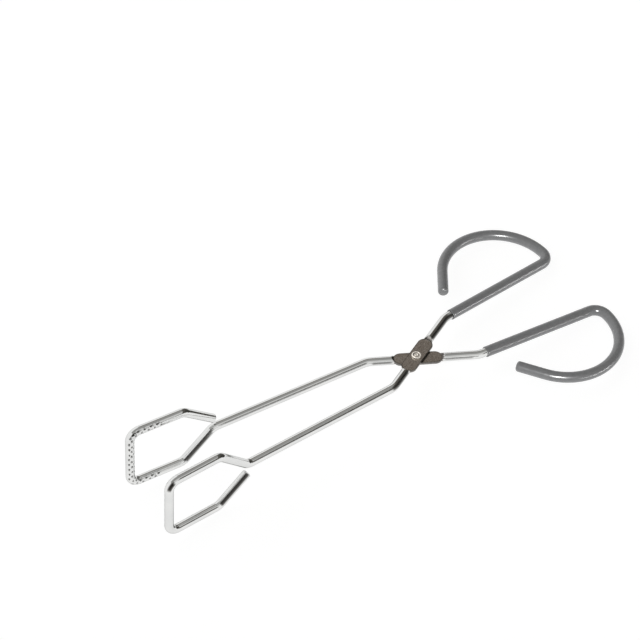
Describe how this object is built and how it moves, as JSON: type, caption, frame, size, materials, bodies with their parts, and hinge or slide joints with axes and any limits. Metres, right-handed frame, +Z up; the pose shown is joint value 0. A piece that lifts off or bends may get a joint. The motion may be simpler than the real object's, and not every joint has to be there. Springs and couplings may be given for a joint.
{
  "type": "laboratory tongs",
  "caption": "Scissor-action lab tongs bent from chromed steel rod, with upright six-sided jaw loops, serrated gripping faces and grey vinyl-covered finger loops on a riveted crossing.",
  "frame": {"origin": "on the table, under the centre of the bounding box of the tongs as they lie at rest", "axes": "+Z up off the table; +X along the tongs from the jaws to the finger loops; +Y towards the finger loop of the upper half. The plane the two halves swing in leans 4.25 degrees down towards the handles and rolls 1.53 degrees, because the jaw loops stand on edge and hold the front up"},
  "size_m": [0.2798, 0.1234, 0.0441],
  "materials": {
    "rod_chrome": "bright plated round rod, satin where pressed flat",
    "grip_vinyl": "semi-gloss mid-grey vinyl",
    "rivet_nickel": "bright warm nickel"
  },
  "bodies": {
    "lower_half": {"lower_rod": "rod_chrome", "lower_grip": "grip_vinyl", "pivot_rivet": "rivet_nickel"},
    "upper_half": {"upper_rod": "rod_chrome", "upper_grip": "grip_vinyl"}
  },
  "joints": [
    {"name": "scissor_hinge", "type": "hinge", "parent": "lower_half", "child": "upper_half", "pos_m": [0.02921, 0, 0.01103], "axis": [0.0741, 0.0267, 0.9969], "range_deg": [-11, 75]}
  ]
}
